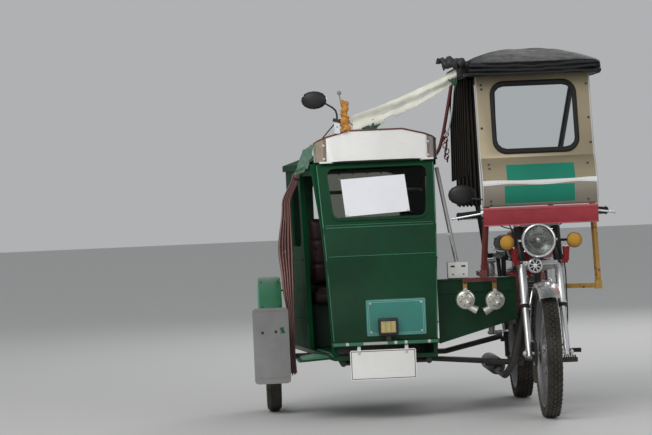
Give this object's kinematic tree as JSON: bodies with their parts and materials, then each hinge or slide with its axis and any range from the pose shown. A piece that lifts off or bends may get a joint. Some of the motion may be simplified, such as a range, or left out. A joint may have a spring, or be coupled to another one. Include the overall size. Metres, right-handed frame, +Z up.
{
  "type": "motorcycle with passenger sidecar",
  "caption": "Small motorcycle under a roofed rider canopy, joined to a green sheet-metal passenger sidecar with its own spoked wheel, mudguard, bench and open doorway.",
  "frame": {"origin": "on the ground under the middle of the vehicle's bounding box", "axes": "+Z up, -Y forwards along the bike, +X towards the bike's left side; the sidecar is on the -X side"},
  "size_m": [1.7189, 1.9007, 1.716],
  "materials": {
    "tyre_rubber": "dusty black tyre rubber",
    "chrome": "chrome plating, dulled in places",
    "silver_alloy": "cast alloy, dusty",
    "rubber": "matt black rubber",
    "clear_glass": "clear glass",
    "amber": "amber lens plastic",
    "black_plastic": "black plastic",
    "black_paint": "worn satin black paint on tube",
    "red_paint": "deep red gloss paint",
    "black_vinyl": "black coated cloth",
    "stainless_sheet": "bright stainless sheet",
    "red_vinyl": "maroon red textured vinyl",
    "yellow_rust": "yellow paint with rust coming through",
    "black_cloth": "black cloth",
    "bright_green": "mid green gloss paint",
    "green_paint": "dark glossy green paint",
    "white_board": "white painted sheet, blank",
    "purple_cloth": "maroon purple pleated cloth",
    "grey_sheet": "plain grey sheet",
    "green_plate": "teal green painted plate, blank",
    "cream_tarp": "cream woven tarpaulin"
  },
  "bodies": {
    "root": {"frame_front": "black_paint", "frame_rear": "black_paint", "engine": "silver_alloy", "exhaust": "black_paint", "fuel_tank": "red_paint", "seat": "black_vinyl", "side_covers": "red_paint", "swing_arm": "black_paint", "shock_left": "chrome", "shock_right": "chrome", "rear_mudguard": "chrome", "windshield_panel": "stainless_sheet", "windshield_gasket": "rubber", "windshield_glass": "clear_glass", "valance": "red_vinyl", "canopy_post_left": "yellow_rust", "canopy_post_right": "yellow_rust", "canopy_stay_left": "black_paint", "canopy_stay_right": "black_paint", "canopy_roof": "black_vinyl", "rider_curtain": "black_cloth", "twin_horns": "chrome", "sidecar_chassis": "black_paint", "sidecar_floor": "bright_green", "sidecar_front_panel": "green_paint", "sidecar_window_gasket": "rubber", "sidecar_window_glass": "clear_glass", "sign_board": "white_board", "sidecar_roof": "green_paint", "sidecar_inner_wall": "green_paint", "sidecar_outer_wall": "green_paint", "sidecar_rear_wall": "green_paint", "bridge_panel": "green_paint", "sidecar_bench": "black_vinyl", "door_curtain": "purple_cloth", "sidecar_mudguard": "bright_green", "sidecar_mud_flap": "grey_sheet", "front_plate": "white_board", "green_plate": "green_plate", "spot_lamp": "black_plastic", "roof_mirror": "black_plastic", "tarp_strip": "cream_tarp", "brace_pipe": "grey_sheet"},
    "steering": {"front_fork": "chrome", "front_mudguard": "chrome", "front_mudflap": "rubber", "headlight": "chrome", "headlight_lens": "clear_glass", "indicator_left": "amber", "indicator_right": "amber", "handlebar": "chrome", "grip_left": "rubber", "grip_right": "rubber", "handlebar_mirror": "black_plastic"},
    "front_wheel": {"front_tyre": "tyre_rubber", "front_wheel_rim": "chrome"},
    "rear_wheel": {"rear_tyre": "tyre_rubber", "rear_wheel_rim": "chrome"},
    "sidecar_wheel": {"sidecar_tyre": "tyre_rubber", "sidecar_wheel_rim": "silver_alloy"}
  },
  "joints": [
    {"name": "steering_turn", "type": "hinge", "parent": "root", "child": "steering", "pos_m": [0.4735, -0.431, 0.6639], "axis": [0, 0.4384, 0.8988], "range_deg": [-22, 22]},
    {"name": "front_wheel_spin", "type": "hinge", "parent": "steering", "child": "front_wheel", "pos_m": [0.4735, -0.6555, 0.295], "axis": [1, 0, 0], "continuous": true},
    {"name": "rear_wheel_spin", "type": "hinge", "parent": "root", "child": "rear_wheel", "pos_m": [0.4735, 0.6245, 0.295], "axis": [1, 0, 0], "continuous": true},
    {"name": "sidecar_wheel_spin", "type": "hinge", "parent": "root", "child": "sidecar_wheel", "pos_m": [-0.7665, 0.4645, 0.295], "axis": [1, 0, 0], "continuous": true}
  ]
}
